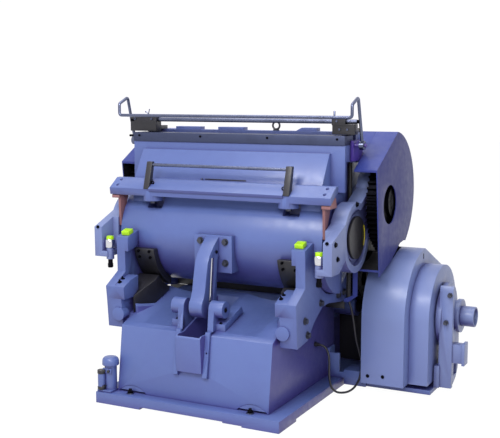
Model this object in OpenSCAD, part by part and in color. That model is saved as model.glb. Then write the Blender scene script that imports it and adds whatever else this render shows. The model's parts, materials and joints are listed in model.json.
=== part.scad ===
// Clamshell platen press for die cutting and creasing board.
//
// X runs across the machine (the drive is at +X), Y runs from the operator's
// side to the back and Z is up. The origin lies on the floor, in the middle of
// the four anchor holes. Outlines are drawn as [y, z] pairs measured from the
// base plate's front edge, and place() moves them into the machine's frame.

/* [Base] */
// Width of the base plate
base_w = 1000; // [960:10:1100]
// Depth of the base plate, front to back
base_d = 1200; // [1180:10:1300]
// Height of the base plate's top face above the floor
base_top = 55; // [45:1:62]
// Height of the foot pads under the plate
foot_h = 12; // [8:1:20]
// Side of a square foot pad
foot_w = 190; // [190:5:240]
// Distance from the anchor holes to the plate's front and back edges
anchor_inset = 50; // [40:1:56]
// Distance between the anchor holes across the machine
anchor_pitch = 660; // [560:10:700]
// Diameter of the anchor holes
anchor_d = 26; // [18:1:34]

/* [Base casting] */
// Width of the cast base box
box_w = 830; // [800:2:840]
// Height of the box's front brow
brow_z = 378; // [360:1:384]
// Height of the deck that carries the bed
deck_z = 470; // [466:1:474]
// Inner width of the well that the centre lever swings in
well_w = 120; // [100:2:128]
// Wall thickness of the well's front pocket
well_wall = 8; // [6:1:10]

/* [Cheeks] */
// Distance from the middle plane to the outer face of a cheek
cheek_x = 521; // [515:1:530]
// Thickness of a cheek's neck and wing
cheek_t = 48; // [36:1:52]
// Side of a square stop pad on a horn
pad_w = 45; // [35:1:50]
// Height of a stop pad
pad_h = 22; // [12:1:26]

/* [Platen] */
// Radius of the platen's barrel
barrel_r = 250; // [240:1:252]
// Length of the barrel
barrel_len = 1124; // [1110:2:1128]
// Width of the platen's plate
platen_w = 1196; // [1160:2:1210]
// Height of the platen's top edge above the floor
platen_top = 1316; // [1300:1:1318]
// Thickness of the steel press plate on the working face
press_t = 7; // [4:0.5:10]
// Distance between the press plate and the bed when the press is shut
die_gap = 26; // [22:0.5:30]
// Angle that the platen opens through
open_angle = 24; // [10:1:24]

/* [Cross beam] */
// Length of the cross beam that carries the feed table
beam_w = 1224; // [1200:2:1230]
// Thickness of the beam's plate
beam_t = 34; // [26:1:38]
// Diameter of the beam's table bolt holes
beam_hole_d = 16; // [10:1:20]

/* [Pull arms] */
// Distance between the barrel's end and a pull arm
arm_gap = 16; // [15:0.5:18]
// Thickness of a pull arm
arm_t = 76; // [60:1:76]
// Outer radius of the arm's front eye
eye_r = 170; // [150:1:172]
// Radius of the trunnion that the front eye turns on
trunnion_r = 85; // [70:1:100]
// Radial running clearance of the trunnions and shafts
run_gap = 0.08; // [0.02:0.01:0.1]
// Throw of the eccentrics that pull the arms
throw = 40; // [38:0.5:40]
// Radius of an eccentric
ecc_r = 112; // [104:1:116]
// Radial clearance of an eccentric in its strap
strap_gap = 1.2; // [1:0.1:2]

/* [Gear train] */
// Teeth of a main gear
main_teeth = 56; // [48:1:60]
// Teeth of a pinion on the second shaft
pinion_teeth = 14; // [12:1:16]
// Teeth of the intermediate gear
mid_teeth = 63; // [60:1:66]
// Teeth of the flywheel shaft's pinion
fly_teeth = 20; // [18:1:22]
// Face width of the main gears and their pinions
main_face = 56; // [40:1:58]
// Face width of the intermediate gear and its pinion
mid_face = 42; // [30:1:44]
// Radius of the main shaft
main_shaft_r = 45; // [40:1:52]
// Radius of the second shaft and of the flywheel shaft
drive_shaft_r = 35; // [30:1:40]

/* [Gear guards] */
// Radius of the round back of a gear guard
guard_r = 318; // [314:1:322]
// Sheet thickness of the guards
sheet_t = 5; // [4:0.5:6]
// Radius of the inspection hole in a gear guard
guard_hole_r = 98; // [80:1:104]

/* [Flywheel] */
// Outer radius of the flywheel
fly_r = 286; // [260:2:288]
// Width of the flywheel's rim
fly_w = 100; // [80:1:104]
// Radius of the motor pulley
pulley_r = 45; // [40:1:52]
// Radius of the large drum over the flywheel
drum_r = 336; // [334:1:342]
// Radius of the small drum over the clutch
clutch_drum_r = 255; // [245:1:260]

/* [Safety bar] */
// Diameter of the safety bar's rod
bar_d = 16; // [12:1:20]
// Height of the bar's long run above the floor
bar_z = 1405; // [1400:1:1415]

/* [Hidden] */
$fn = 96;

enamel = [0.42, 0.48, 0.72];
dark_enamel = [0.25, 0.26, 0.5];
steel = [0.55, 0.56, 0.6];
bright = [0.8, 0.81, 0.84];
black = [0.12, 0.12, 0.14];
primer = [0.55, 0.3, 0.27];
lime = [0.6, 0.85, 0.1];

// seat that two rigid pieces keep between curved or sloping faces
seat = 0.3;
front = -base_d / 2;

// shafts and axes, [y, z]
barrel_c = [580, 795];
trunnion_c = [545, 829];
strap_c = [870, 1010];
arm_v = strap_c - trunnion_c;
arm_u = arm_v / norm(arm_v);
arm_n = [-arm_u[1], arm_u[0]];
// the eccentric leads the arm's normal by 2 degrees when the press is shut
ecc_dir = arm_n * cos(2) - arm_u * sin(2);
main_c = strap_c - throw * ecc_dir;
second_c = [960, 668];
fly_c = [1033, 387];
motor_c = [base_d + 118, 140];

// running planes across the machine, distances from the middle plane
barrel_half = barrel_len / 2;
arm_x = barrel_half + arm_gap;
arm_out = arm_x + arm_t;
main_gear_x = arm_out + 10;
mid_gear_x = 528;
wall_in = cheek_x - cheek_t;
bed_half = barrel_half - 14;
guard_in = arm_x + 38;
guard_out = main_gear_x + main_face + 8 + sheet_t;
drum_x = guard_in + 12;
drum_out = drum_x + 222;
clutch_out = drum_out + 100;
plate_back = barrel_c[0] + 45;
bed_face = plate_back + press_t + die_gap;

module place() translate([0, front, 0]) children();

// an outline in [y, z], drawn from x0 to x1
module slab(points, x0, x1)
    translate([x0, 0, 0]) rotate([90, 0, 90]) linear_extrude(x1 - x0) polygon(points);

module x_rod(r, x0, x1, c)
    translate([x0, c[0], c[1]]) rotate([0, 90, 0]) cylinder(r = r, h = x1 - x0);

module y_rod(r, y0, y1, x, z)
    translate([x, y1, z]) rotate([90, 0, 0]) cylinder(r = r, h = y1 - y0);

module z_rod(r, z0, z1, x, y)
    translate([x, y, z0]) cylinder(r = r, h = z1 - z0);

module block(x0, x1, y0, y1, z0, z1)
    translate([x0, y0, z0]) cube([x1 - x0, y1 - y0, z1 - z0]);

module mirrored() mirror([1, 0, 0]) children();

module both() {
    children();
    mirrored() children();
}

// a straight round rod between two points
module rod(a, b, r) {
    v = b - a;
    translate(a)
        rotate([0, acos(v[2] / norm(v)), atan2(v[1], v[0])])
            cylinder(r = r, h = norm(v), $fn = 32);
}

// a hexagon bolt head with a washer face, axis along +X from the seat
module bolt_x(x, c, r) {
    x_rod(r * 1.35, x, x + r * 0.3, c);
    translate([x + r * 0.3, c[0], c[1]]) rotate([0, 90, 0]) cylinder(r = r, h = r * 0.9, $fn = 6);
}

// ---------- base ----------

module base_plate() color(enamel) place() difference() {
    union() {
        block(-base_w / 2, base_w / 2, 0, base_d, foot_h, base_top);
        for (y = [0, base_d - foot_w]) {
            block(-base_w / 2, -base_w / 2 + foot_w + 66, y, y + foot_w, 0, foot_h + 1);
            block(base_w / 2 - foot_w, base_w / 2, y, y + foot_w, 0, foot_h + 1);
            block(base_w / 2 - foot_w - 100, base_w / 2 - 1, y + 0.5, y + foot_w - 0.5, foot_h / 2, foot_h + 1);
        }
    }
    for (x = [-1, 1], y = [anchor_inset, base_d - anchor_inset])
        translate([x * anchor_pitch / 2, y, -1]) cylinder(d = anchor_d, h = base_top + 2);
}

toe_y = 67;
brow_y = 110;
crest = [500, 512];
box_back = base_d - 75;
// the box is narrower behind this line
box_step = 862;
box_rear = 345;
box_half = box_w / 2;
slope_y = 140;
slope_z = brow_z + 14;

function slope_at(y) = slope_z + (y - slope_y) * (crest[1] - slope_z) / (crest[0] - slope_y);

module base_body() {
    slab([[toe_y, base_top], [brow_y, brow_z], [slope_y, slope_z], crest, [crest[0] + 60, deck_z],
        [box_step, deck_z], [box_step, base_top]], -box_half, box_half);
    slab([[box_step - 1, base_top], [box_step - 1, deck_z], [box_back, deck_z], [box_back, base_top]],
        -box_rear, box_rear);
}

// the pocket in front of the box that the lever's toe swings through
pocket_top = [46, brow_z - 6];
pocket_foot = [56, 202];
module pocket() {
    half = well_w / 2 + well_wall;
    slab([pocket_top, pocket_foot, [110, 190], [140, pocket_top[1] + 12], [62, pocket_top[1] + 12]],
        -half, half);
}

// the webs that part the rocker tracks from the basin
web_foot = [400, 216];
web_head = [300, 412];
module basin_web() {
    run = norm(web_head - web_foot);
    bearing = atan2(web_head[1] - web_foot[1], web_head[0] - web_foot[0]);
    translate([web_foot[0], web_foot[1], 0]) rotate([0, 0, bearing]) rotate([90, 0, 0])
        translate([0, 0, -8]) linear_extrude(16)
            polygon([[0, 380], [0, 478], [run * 0.97, 602], [run, 598], [run, 440]]);
}

module base_casting() color(enamel) place() difference() {
    union() {
        base_body();
        pocket();
        both() basin_web();
    }
    // the well under the lever
    well = well_w / 2;
    slab([[pocket_top[0] + 7, pocket_top[1] + 40], [pocket_foot[0] + 8, 215], [440, 215], [458, 520],
        [458, 620], [60, 620]], -well, well);
    // low arches over the anchor bolts
    for (x = [-1, 1])
        translate([x * anchor_pitch / 2, toe_y - 1, base_top - 75.5]) rotate([-90, 0, 0]) cylinder(r = 110, h = 26);
    // shallow scoops in the basin floor
    for (x = [-1, 1])
        translate([x * 232, crest[0] + 40, crest[1] + 236]) rotate([104, 0, 0])
            cylinder(r = 262, h = 470, center = false);
    // hollow underside
    block(-box_rear + 45, box_rear - 45, 140, box_back - 45, base_top - 1, 190);
}

// ---------- cheeks ----------

horn = [[228, 798], [326, 824]];
module cheek() color(enamel) place() difference() {
    union() {
        slab([[130, 562], [137, 500], [150, 355], [265, 369], [345, 440], [442, 497], [529, 498],
            [763, 465], [763, 612], [326, 824], [228, 798], [232, 727], [234, 622]], wall_in, cheek_x);
        slab([[130, 562], [137, 500], [262, 500], [262, 604], [190, 588]], box_half, wall_in);
        slab([[150, 355], [137, 500], [262, 500], [262, slope_at(262)], [300, slope_at(300)], [265, 369]],
            box_half + 20, wall_in);
        slab([[190, 362], [190, slope_at(190)], [330, slope_at(330)], [265, 369]],
            box_half + seat, box_half + 21);
        slab([[231, 726], [228, 798], [326, 824], [318, 742]], wall_in - 20, wall_in + 1);
        y_rod(34, 132, 180, box_half + 37, 424);
    }
    x_rod(barrel_r + 6, wall_in - 30, cheek_x + 1, barrel_c);
}

module left_cheek() mirrored() cheek();
module right_cheek() cheek();

// the horn tops slope up towards the barrel
horn_slope = atan2(horn[1][1] - horn[0][1], horn[1][0] - horn[0][0]);
pad_at = 22;
module stop_pads() color(lime) place() both()
    translate([cheek_x - 40 - pad_w / 2, horn[0][0], horn[0][1]]) rotate([horn_slope, 0, 0])
        translate([0, pad_at, 0]) cube([pad_w, pad_w, pad_h]);

module cheek_bolts() color(steel) place() both() {
    for (c = [[262, 398], [232, 470], [420, 520], [640, 520], [720, 520]])
        bolt_x(cheek_x, c, 13);
}

// ---------- rocker tracks and guide blocks ----------

track_y = [206, 462];
function web_x(y) =
    web_foot[0] + (y - web_foot[1]) * (web_head[0] - web_foot[0]) / (web_head[1] - web_foot[1]);
module track() color(black) place() intersection() {
    slab([[track_y[0], slope_at(track_y[0]) + seat], [track_y[0], 497], [360, 593], [400, 548],
        [track_y[1], 518], [track_y[1], slope_at(track_y[1]) + seat]], 300, wall_in - 0.5);
    translate([0, 0, 300]) linear_extrude(300)
        polygon([[box_half - 1, track_y[0] + 8], [web_x(330) + 11, 330], [web_x(330) + 11, track_y[1]],
            [wall_in - 0.5, track_y[1]], [wall_in - 0.5, 263], [box_half - 1, 263]]);
}

module left_rocker_track() mirrored() track();
module right_rocker_track() track();

guide_in = well_w / 2 + well_wall + seat;
guide_c = [168, 497];
module guide_block() color(enamel) place() difference() {
    union() {
        slab([[117, slope_z + 4], [128, guide_c[1]], [208, guide_c[1]], [236, slope_at(236) + seat],
            [slope_y + 14, slope_at(slope_y + 14) + seat]], guide_in, guide_in + 30);
        x_rod(40, guide_in, guide_in + 72, guide_c);
        slab([[150, slope_at(150) + seat], [150, slope_at(150) + 34], [320, slope_at(320) + 34],
            [336, slope_at(336) + seat]], guide_in + 29, guide_in + 78);
        // the pilaster that runs down the box's face
        slab([[brow_y - 12, slope_z + 4], [brow_y + 7, slope_z + 4], [brow_y - 2 * seat, brow_z + 1],
            [80 - seat, 176], [62, 184]], guide_in, guide_in + 24);
    }
    x_rod(14, guide_in + 50, guide_in + 80, guide_c);
    translate([guide_in + 14, 60, 300]) rotate([-90, 0, 0]) cylinder(r = 5, h = 60);
    slab([[160, slope_at(160) + 34], [160, 700], [330, 700], [330, slope_at(330) + 34]],
        guide_in + 73, guide_in + 90);
}

module left_guide_block() mirrored() guide_block();
module right_guide_block() guide_block();

// ---------- bed ----------

bed_top = 1330;
crown_z = 1182;
module bed_wall(x0, x1)
    slab([[763 + seat, deck_z], [763 + seat, 640], [bed_face + 60, 860], [bed_face + 60, 1230],
        [880, 1290], [box_back - 35, 1130], [box_back, 900], [box_back, deck_z]], x0, x1);

module bed_casting() color(enamel) place() difference() {
    union() {
        slab([[bed_face, 815], [bed_face, bed_top], [bed_face + 72, bed_top], [bed_face + 72, 815]],
            -bed_half, bed_half);
        slab([[747, deck_z], [747, 590], [bed_face, 816], [bed_face + 72, 816], [830, 590], [830, deck_z]],
            -wall_in, wall_in);
        slab([[829, deck_z], [829, deck_z + 50], [box_back, deck_z + 50], [box_back, deck_z]],
            -wall_in, wall_in);
        block(-600, 600, bed_face, bed_face + 72, crown_z, bed_top);
        for (x = [-cheek_x, wall_in]) bed_wall(x, x + cheek_t);
        // ribs behind the bed plate
        for (x = [-300, 0, 300])
            slab([[bed_face + 71, 700], [bed_face + 71, bed_top - 30], [bed_face + 130, bed_top - 60],
                [800, deck_z + 49], [760, deck_z + 49]], x - 15, x + 15);
        // main bearing bosses
        both() x_rod(main_shaft_r + 30, wall_in - 20, cheek_x + 5, main_c);
        both() x_rod(drive_shaft_r + 26, wall_in - 20, cheek_x + 3, second_c);
        // lugs on the crown
        for (x = [-430, -173]) block(x, x + 150, bed_face + 12, bed_face + 60, bed_top - 1, bed_top + 15);
        translate([0, bed_face + 12, 0]) rotate([90, 0, 0]) translate([0, 0, -48]) linear_extrude(48)
            polygon([[271, bed_top - 1], [304, bed_top + 17], [386, bed_top + 17], [386, bed_top - 1]]);
    }
    x_rod(main_shaft_r + run_gap, -cheek_x - 10, cheek_x + 10, main_c);
    x_rod(drive_shaft_r + run_gap, -cheek_x - 10, cheek_x + 10, second_c);
    x_rod(barrel_r + 8, -cheek_x - 1, cheek_x + 1, barrel_c);
}

module lifting_eye() color(black) place() {
    z_rod(16, bed_top, bed_top + 6, 153, bed_face + 36);
    translate([153, bed_face + 36, bed_top + 26]) rotate([90, 0, 0])
        rotate_extrude() translate([19, 0]) circle(r = 5, $fn = 24);
}

// ---------- gear guards ----------

guard_c = [870, 1010];
guard_foot = [653, 646];
guard_brow = [596, 1152];
guard_peak = [905, 1326];

// the guard's outline, drawn t inside its outer face
module guard_outline(t) difference() {
    union() {
        translate(guard_c) circle(r = guard_r - t);
        polygon([guard_brow - [0, t], guard_foot + [0, t], [829, 678 + t], [937, 734 + t], [1035, 758 + t],
            guard_c, guard_peak - [0, t]]);
    }
    polygon([[600, 400], guard_foot + [-1, t], [829, 678 + t], [937, 734 + t], [969, 751 + t],
        [1035, 758 + t], [1078, 749 + t], [1300, 700], [1300, 400]]);
    // the straight front and the straight roof
    polygon([[300, 400], [guard_foot[0], 400], guard_foot, guard_brow - [0, 1.15 * t],
        guard_peak - [0, 1.15 * t], [guard_peak[0], 1500], [300, 1500]]);
}

module in_yz(x0, x1) translate([x0, 0, 0]) rotate([90, 0, 90]) linear_extrude(x1 - x0) children();

module gear_guard() color(enamel) place() difference() {
    union() {
        in_yz(guard_in, guard_out) guard_outline(0);
        slab([[guard_foot[0], 624], guard_foot, [829, 680], [829, 678]], guard_out - sheet_t, guard_out);
    }
    // the front is open for the arm, between two narrow lips
    difference() {
        in_yz(guard_in - 1, guard_out - sheet_t) guard_outline(sheet_t);
        block(guard_in - 2, guard_out, guard_brow[0] - 1, guard_brow[0] + 4, guard_brow[1] - 12, 1200);
        block(guard_in - 2, guard_out, guard_foot[0] - 1, guard_foot[0] + 4, 640, guard_foot[1] + 12);
    }
    slab([[guard_foot[0] - 20, guard_foot[1] + 11.5], [guard_foot[0] + 20, guard_foot[1] + 11.5],
        [guard_brow[0] + 20, guard_brow[1] - 11.5], [guard_brow[0] - 30, guard_brow[1] - 11.5]],
        guard_in - 1, guard_out - sheet_t);
    // room for the gear and its pinion where they mesh
    x_rod(main_tip + 6, guard_in - 1, guard_out - sheet_t, main_c);
    x_rod(pinion_tip + 6, guard_in - 1, guard_out - sheet_t, second_c);
    x_rod(guard_hole_r, guard_out - sheet_t - 1, guard_out + 1, [797, 968]);
}

module left_gear_guard() mirrored() gear_guard();
module right_gear_guard() gear_guard();

// ---------- flywheel housing ----------

skirt_z = 67;
drum_front = fly_c[0] - drum_r;
drum_rear = motor_c[0] + 67;
module drum_outline(t) {
    intersection() {
        translate(fly_c) circle(r = drum_r - t);
        square([fly_c[0] + 0.1, fly_c[1] + drum_r]);
    }
    polygon([[drum_front + t, fly_c[1]], [drum_front + t, skirt_z + t], [drum_rear - 55, skirt_z + t],
        [drum_rear - t, 120], [drum_rear - t, 574 - t], [drum_rear - 20 - t * 0.6, 582 - t],
        [fly_c[0], fly_c[1] + drum_r - 1.09 * t], fly_c]);
}

module flywheel_guard() color(enamel) place() difference() {
    in_yz(drum_x, drum_out) drum_outline(0);
    in_yz(drum_x + sheet_t, drum_out - sheet_t) drum_outline(sheet_t);
    x_rod(clutch_drum_r - 30, drum_out - sheet_t - 1, drum_out + 1, fly_c);
    x_rod(drive_shaft_r + 12, drum_x - 1, drum_x + sheet_t + 1, fly_c);
    x_rod(drive_shaft_r + 12, drum_x - 1, drum_x + sheet_t + 1, second_c);
    x_rod(30, drum_x - 1, drum_x + sheet_t + 1, motor_c);
    x_rod(pinion_tip + 8, main_gear_x - 8, main_gear_x + main_face + 8, second_c);
    x_rod(main_tip + 8, main_gear_x - 8, main_gear_x + main_face + 8, main_c);
}

module clutch_outline(t) {
    translate(fly_c) circle(r = clutch_drum_r - t);
    translate([fly_c[0] - clutch_drum_r + t, skirt_z + t])
        square([2 * (clutch_drum_r - t), fly_c[1] - skirt_z - t]);
}

module clutch_guard() color(enamel) place() difference() {
    in_yz(drum_out, clutch_out) clutch_outline(0);
    in_yz(drum_out - 1, clutch_out - sheet_t) clutch_outline(sheet_t);
    x_rod(drive_shaft_r + 60, clutch_out - sheet_t - 1, clutch_out + 1, fly_c);
}

// the bracket outside the clutch: a spoked ring, a hub, and a foot with a high front plate
ring_r = 165;
hub_r = drive_shaft_r + 43;
bracket_x = clutch_out + 8;
leg_x = bracket_x + 26;
leg_out = leg_x + 50;
bracket_out = leg_out + 16;
leg_y = fly_c[0] - 153;
tray_top = 42;
module outboard_bracket() color(enamel) place() difference() {
    union() {
        difference() {
            x_rod(ring_r, bracket_x, leg_x, fly_c);
            x_rod(ring_r - 55, bracket_x - 1, leg_x + 1, fly_c);
        }
        for (a = [50, 325])
            translate([bracket_x + 4, fly_c[0], fly_c[1]]) rotate([a, 0, 0])
                translate([0, hub_r - 10, -22]) cube([leg_x - bracket_x - 9, ring_r - hub_r - 10, 44]);
        x_rod(hub_r, bracket_x, leg_out, fly_c);
        x_rod(hub_r + 8, leg_out - 4, bracket_out, fly_c);
        // front plate
        slab([[leg_y, tray_top], [leg_y, 535], [leg_y + 9, 562], [leg_y + 28, 562],
            [leg_y + 28, tray_top]], leg_x - 9, leg_out + 8);
        slab([[leg_y + 20, 335], [leg_y + 20, 470], [leg_y + 90, 440], [fly_c[0], 440], [fly_c[0], 335]],
            leg_x - 7, leg_x + 24);
        // foot
        slab([[leg_y + 5, 40], [leg_y + 5, 330], [fly_c[0] + 7, 330], [fly_c[0] + 15, 160], [fly_c[0] + 2, 110],
            [fly_c[0] - 33, 70], [fly_c[0] - 83, 48], [leg_y + 25, 38]], leg_x - 5, leg_out);
        block(bracket_x, leg_x, leg_y - 18, fly_c[0] - 30, tray_top, 155);
        // square lug
        block(leg_out - 1, leg_out + 58, leg_y + 12, leg_y + 65, 172, 268);
        block(leg_out + 57, leg_out + 71, leg_y + 4, leg_y + 73, 164, 276);
    }
    x_rod(drive_shaft_r + run_gap, bracket_x - 1, bracket_out + 1, fly_c);
    block(leg_out - 14, leg_out + 1, fly_c[0] - 80, fly_c[0] - 20, 90, 150);
}

module bracket_studs() color(steel) place()
    for (c = [[leg_x + 26, 379], [leg_x + 44, 520]]) {
        y_rod(7, leg_y - 32, leg_y, c[0], c[1]);
        translate([c[0], leg_y, c[1]]) rotate([90, 0, 0]) cylinder(r = 13, h = 12, $fn = 6);
    }

module shaft_end_cover() color(enamel) place() difference() {
    x_rod(52, bracket_out, bracket_out + 71, fly_c);
    x_rod(drive_shaft_r + 8, bracket_out - 1, bracket_out + 72, fly_c);
}

module flywheel_bearing() color(enamel) place() difference() {
    union() {
        x_rod(78, box_rear, box_rear + 16, fly_c);
        x_rod(58, box_rear + 15, box_half + 70, fly_c);
    }
    x_rod(drive_shaft_r + run_gap, box_rear - 1, box_half + 71, fly_c);
}

module housing_bracket() color(enamel) place() {
    block(box_half, box_half + 12, 772, 850, base_top, 205);
    block(box_half + 11, 482, 772, 786, base_top + 28, 182);
    block(box_half + 2, 509, 772, 850, base_top, base_top + 29);
    block(508, drum_x, 772, 900, 22, 98);
    // tray under the drums
    block(drum_x - 1, clutch_out + 10, 796, 1180, 20, tray_top);
}

// ---------- oil pump, motor and wiring ----------

pump_c = [-449, 57];
filter_c = [-480, 23];
module lube_pump() color(enamel) place() {
    block(pump_c[0] - 50, pump_c[0] + 31, pump_c[1] - 47, pump_c[1] + 26, base_top, base_top + 11);
    z_rod(31, base_top + 10, base_top + 131, pump_c[0], pump_c[1]);
    z_rod(42, base_top + 130, base_top + 146, pump_c[0], pump_c[1]);
    translate([pump_c[0], pump_c[1], base_top + 145]) cylinder(r1 = 40, r2 = 21, h = 26);
    z_rod(21, base_top + 10, base_top + 108, filter_c[0], filter_c[1]);
}

// the dark sheet that closes the gap between the box and the belt guard
panel_y = box_back + 1.5;
module rear_panel() color(black) place()
    block(box_rear - 40, guard_in - 2, panel_y, panel_y + 5, base_top, 470);

motor_r = 96;
module drive_motor() color(enamel) place() {
    difference() {
        x_rod(motor_r, 300, 560, motor_c);
        for (a = [0 : 15 : 345])
            translate([330, motor_c[0], motor_c[1]]) rotate([a, 0, 0])
                translate([0, -3, motor_r - 10]) cube([200, 6, 12]);
    }
    x_rod(motor_r - 6, 560, 600, motor_c);
    x_rod(motor_r - 8, 270, 301, motor_c);
    block(330, 520, motor_c[0] - 70, motor_c[0] + 70, 30, 60);
    block(330, 500, base_d, motor_c[0] - 60, 20, 50);
    block(340, 420, motor_c[0] - 40, motor_c[0] + 40, motor_c[1] + motor_r - 20, motor_c[1] + motor_r + 40);
}

conduit_c = [bed_half + 14, 684];
conduit_z = [496, crown_z];
module conduit() color(black) place() difference() {
    z_rod(12, conduit_z[0], conduit_z[1], conduit_c[0], conduit_c[1]);
    z_rod(7, conduit_z[0] - 1, conduit_z[0] + 60, conduit_c[0], conduit_c[1]);
}

strip_y = 646;
module conduit_strip() color(enamel) place() {
    block(598, 622, strip_y, strip_y + 5, 520, 660);
    block(598, guard_in + 50, strip_y, strip_y + 5, 650, 656);
    translate([0, strip_y + 5, 0]) rotate([90, 0, 0]) linear_extrude(5)
        polygon([[598, 521], [622, 521], [conduit_c[0] + 14, 486], [conduit_c[0] - 10, 486],
            [conduit_c[0] - 10, 500]]);
    block(conduit_c[0] - 10, conduit_c[0] + 10, strip_y + 4, conduit_c[1] - 12 - seat, 487, 499);
}

gland_c = [604, 263];
module cable_gland() color(black) place() difference() {
    union() {
        translate([box_half, gland_c[0], gland_c[1]]) rotate([0, 90, 0]) cylinder(r = 13, h = 10, $fn = 6);
        x_rod(9, box_half + 9, box_half + 24, gland_c);
    }
    x_rod(6.2, box_half + 8, box_half + 25, gland_c);
}

// the cable's route, from the gland to the conduit's mouth
cable_r = 5.5;
cable_points = [[426, 604, 263], [446, 605, 262], [470, 610, 250], [488, 606, 220], [498, 595, 180],
    [504, 580, 135], [512, 572, 90], [522, 578, 55], [540, 592, 35], [562, 613, 28], [582, 650, 27],
    [596, 695, 38], [605, 735, 68], [608, 758, 115], [607, 760, 165], [602, 738, 220], [596, 715, 275],
    [590, 706, 330], [583, 702, 385], [575, 696, 435], [566, 688, 475], [562, 684, 500], [562, 684, 530]];

function unit(v) = v / norm(v);
function tangent(p, i) = unit(p[min(i + 1, len(p) - 1)] - p[max(i - 1, 0)]);
function side_of(t) = unit(cross(t, abs(t[2]) < 0.9 ? [0, 0, 1] : [1, 0, 0]));
function ring_at(p, i, r, n) = let (t = tangent(p, i), u = side_of(t), v = cross(u, t))
    [for (k = [0 : n - 1]) p[i] + r * (cos(360 * k / n) * u + sin(360 * k / n) * v)];
// Catmull-Rom point between p[i] and p[i + 1]
function blend_at(p, i, s) = let (a = p[max(i - 1, 0)], b = p[i], c = p[i + 1], d = p[min(i + 2, len(p) - 1)])
    0.5 * ((2 * b) + (c - a) * s + (2 * a - 5 * b + 4 * c - d) * s * s
        + (3 * b - a - 3 * c + d) * s * s * s);
function smooth_path(p, m) = concat([for (i = [0 : len(p) - 2], k = [0 : m - 1]) blend_at(p, i, k / m)],
    [p[len(p) - 1]]);

module tube(p, r, n) {
    points = [for (i = [0 : len(p) - 1], q = ring_at(p, i, r, n)) q];
    sides = [for (i = [0 : len(p) - 2], k = [0 : n - 1])
        [i * n + k, i * n + (k + 1) % n, (i + 1) * n + (k + 1) % n, (i + 1) * n + k]];
    first = [for (k = [n - 1 : -1 : 0]) k];
    last = [for (k = [0 : n - 1]) (len(p) - 1) * n + k];
    polyhedron(points, concat([first], sides, [last]));
}

module cable() color(black) place() tube(smooth_path(cable_points, 2), cable_r, 8);

// ---------- top of the bed ----------

cam_c = [566, 1383];
module cam_shaft() color(bright) place() x_rod(11, -640, 640, cam_c);

module clamp(x0, x1) difference() {
    union() {
        block(x0, x1, cam_c[0] - 26, cam_c[0] + 26, bed_top - 8, 1402);
        block(x0 + 20, x1 - 20, cam_c[0] + 20, bed_face + 30, bed_top, 1350);
    }
    x_rod(11.2, x0 - 1, x1 + 1, cam_c);
}

module left_clamp() color(black) place() clamp(-634, -474);
module right_clamp() color(black) place() difference() {
    union() {
        block(519, 588, cam_c[0] - 26, cam_c[0] + 26, 1366, 1402);
        block(522, 634, cam_c[0] - 25, cam_c[0] + 25, bed_top - 8, 1371);
        block(539, 614, cam_c[0] + 20, bed_face + 30, bed_top, 1350);
    }
    x_rod(11.2, 518, 635, cam_c);
}

pivot_c = [608, 1269];
loop_x = guard_in + 36;
module bar_brackets() color(dark_enamel) place() both() {
    block(600, guard_in - 2, pivot_c[0] - 24, bed_face + 60, crown_z + 10, 1292);
    x_rod(9, guard_in - 3, loop_x + 20, pivot_c);
}

// ---------- platen ----------

module barrel_cut(gap, x) x_rod(barrel_r + gap, -x, x, barrel_c);

wedge = [[499, 1231], [412, 1086]];
rail_y = 512;
module platen_casting() color(enamel) place() difference() {
    union() {
        difference() {
            intersection() {
                x_rod(barrel_r, -barrel_half, barrel_half, barrel_c);
                block(-barrel_len, barrel_len, 0, plate_back, 400, 1200);
            }
            // ends of the barrel are relieved behind the working face
            both() block(bed_half - 1, barrel_len, barrel_c[0] - 15, plate_back + 1, 400, barrel_c[1]);
        }
        // plate, with a narrower body behind its flange, and its raised middle
        block(-platen_w / 2, platen_w / 2, rail_y + 7, rail_y + 29, 1045, platen_top - 46);
        block(-platen_w / 2, platen_w / 2, rail_y + 7, plate_back, 1190, platen_top - 46);
        block(-barrel_half, barrel_half, rail_y + 28, plate_back, 1030, 1191);
        slab([wedge[0], wedge[1], [394, 950], [plate_back, 950], [plate_back, wedge[0][1]]], -527, 527);
        // trunnions
        both() x_rod(trunnion_r, barrel_half - 1, arm_out - 11.5, trunnion_c);
        both() x_rod(trunnion_r + 24, barrel_half - 1, arm_x - 1, trunnion_c);
    }
    // windows under the beam's bosses
    both() block(339, 425, 330, 460, 936, 1004);
}

module top_rail() color(steel) place()
    block(-platen_w / 2, platen_w / 2, rail_y, plate_back, platen_top - 46, platen_top);

module press_plate() color(bright) place()
    block(-535, 535, plate_back, plate_back + press_t, 806, platen_top - 2);

// the cross beam's top slopes up towards the platen
beam_front = [306, 1038];
beam_back = [376, 1087];
function beam_line(y) = beam_front[1] + (y - beam_front[0]) * (beam_back[1] - beam_front[1])
    / (beam_back[0] - beam_front[0]);
module cross_beam() color(enamel) place() difference() {
    union() {
        slab([beam_front, beam_back, [406, 1087], [398, 1087 - beam_t], [380, 1087 - beam_t - 4],
            [312, beam_front[1] - beam_t]], -beam_w / 2, beam_w / 2);
        // raised middle part
        slab([[302, 1028], [372, 1078], [372, 1095], [296, 1042]], -372, 372);
        both() z_rod(50, 978, 1030, 379, 356);
    }
    barrel_cut(seat, beam_w);
    slab([wedge[0], wedge[1] - [seat, 0], [394 - seat, 950], [plate_back, 950], [plate_back, wedge[0][1]]],
        -527 - seat, 527 + seat);
    for (x = [-575, 575], y = [328, 362])
        translate([x, y, 980]) cylinder(d = beam_hole_d, h = 140);
    block(-beam_w, beam_w, 300, 460, 1087.5, 1200);
}

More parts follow.
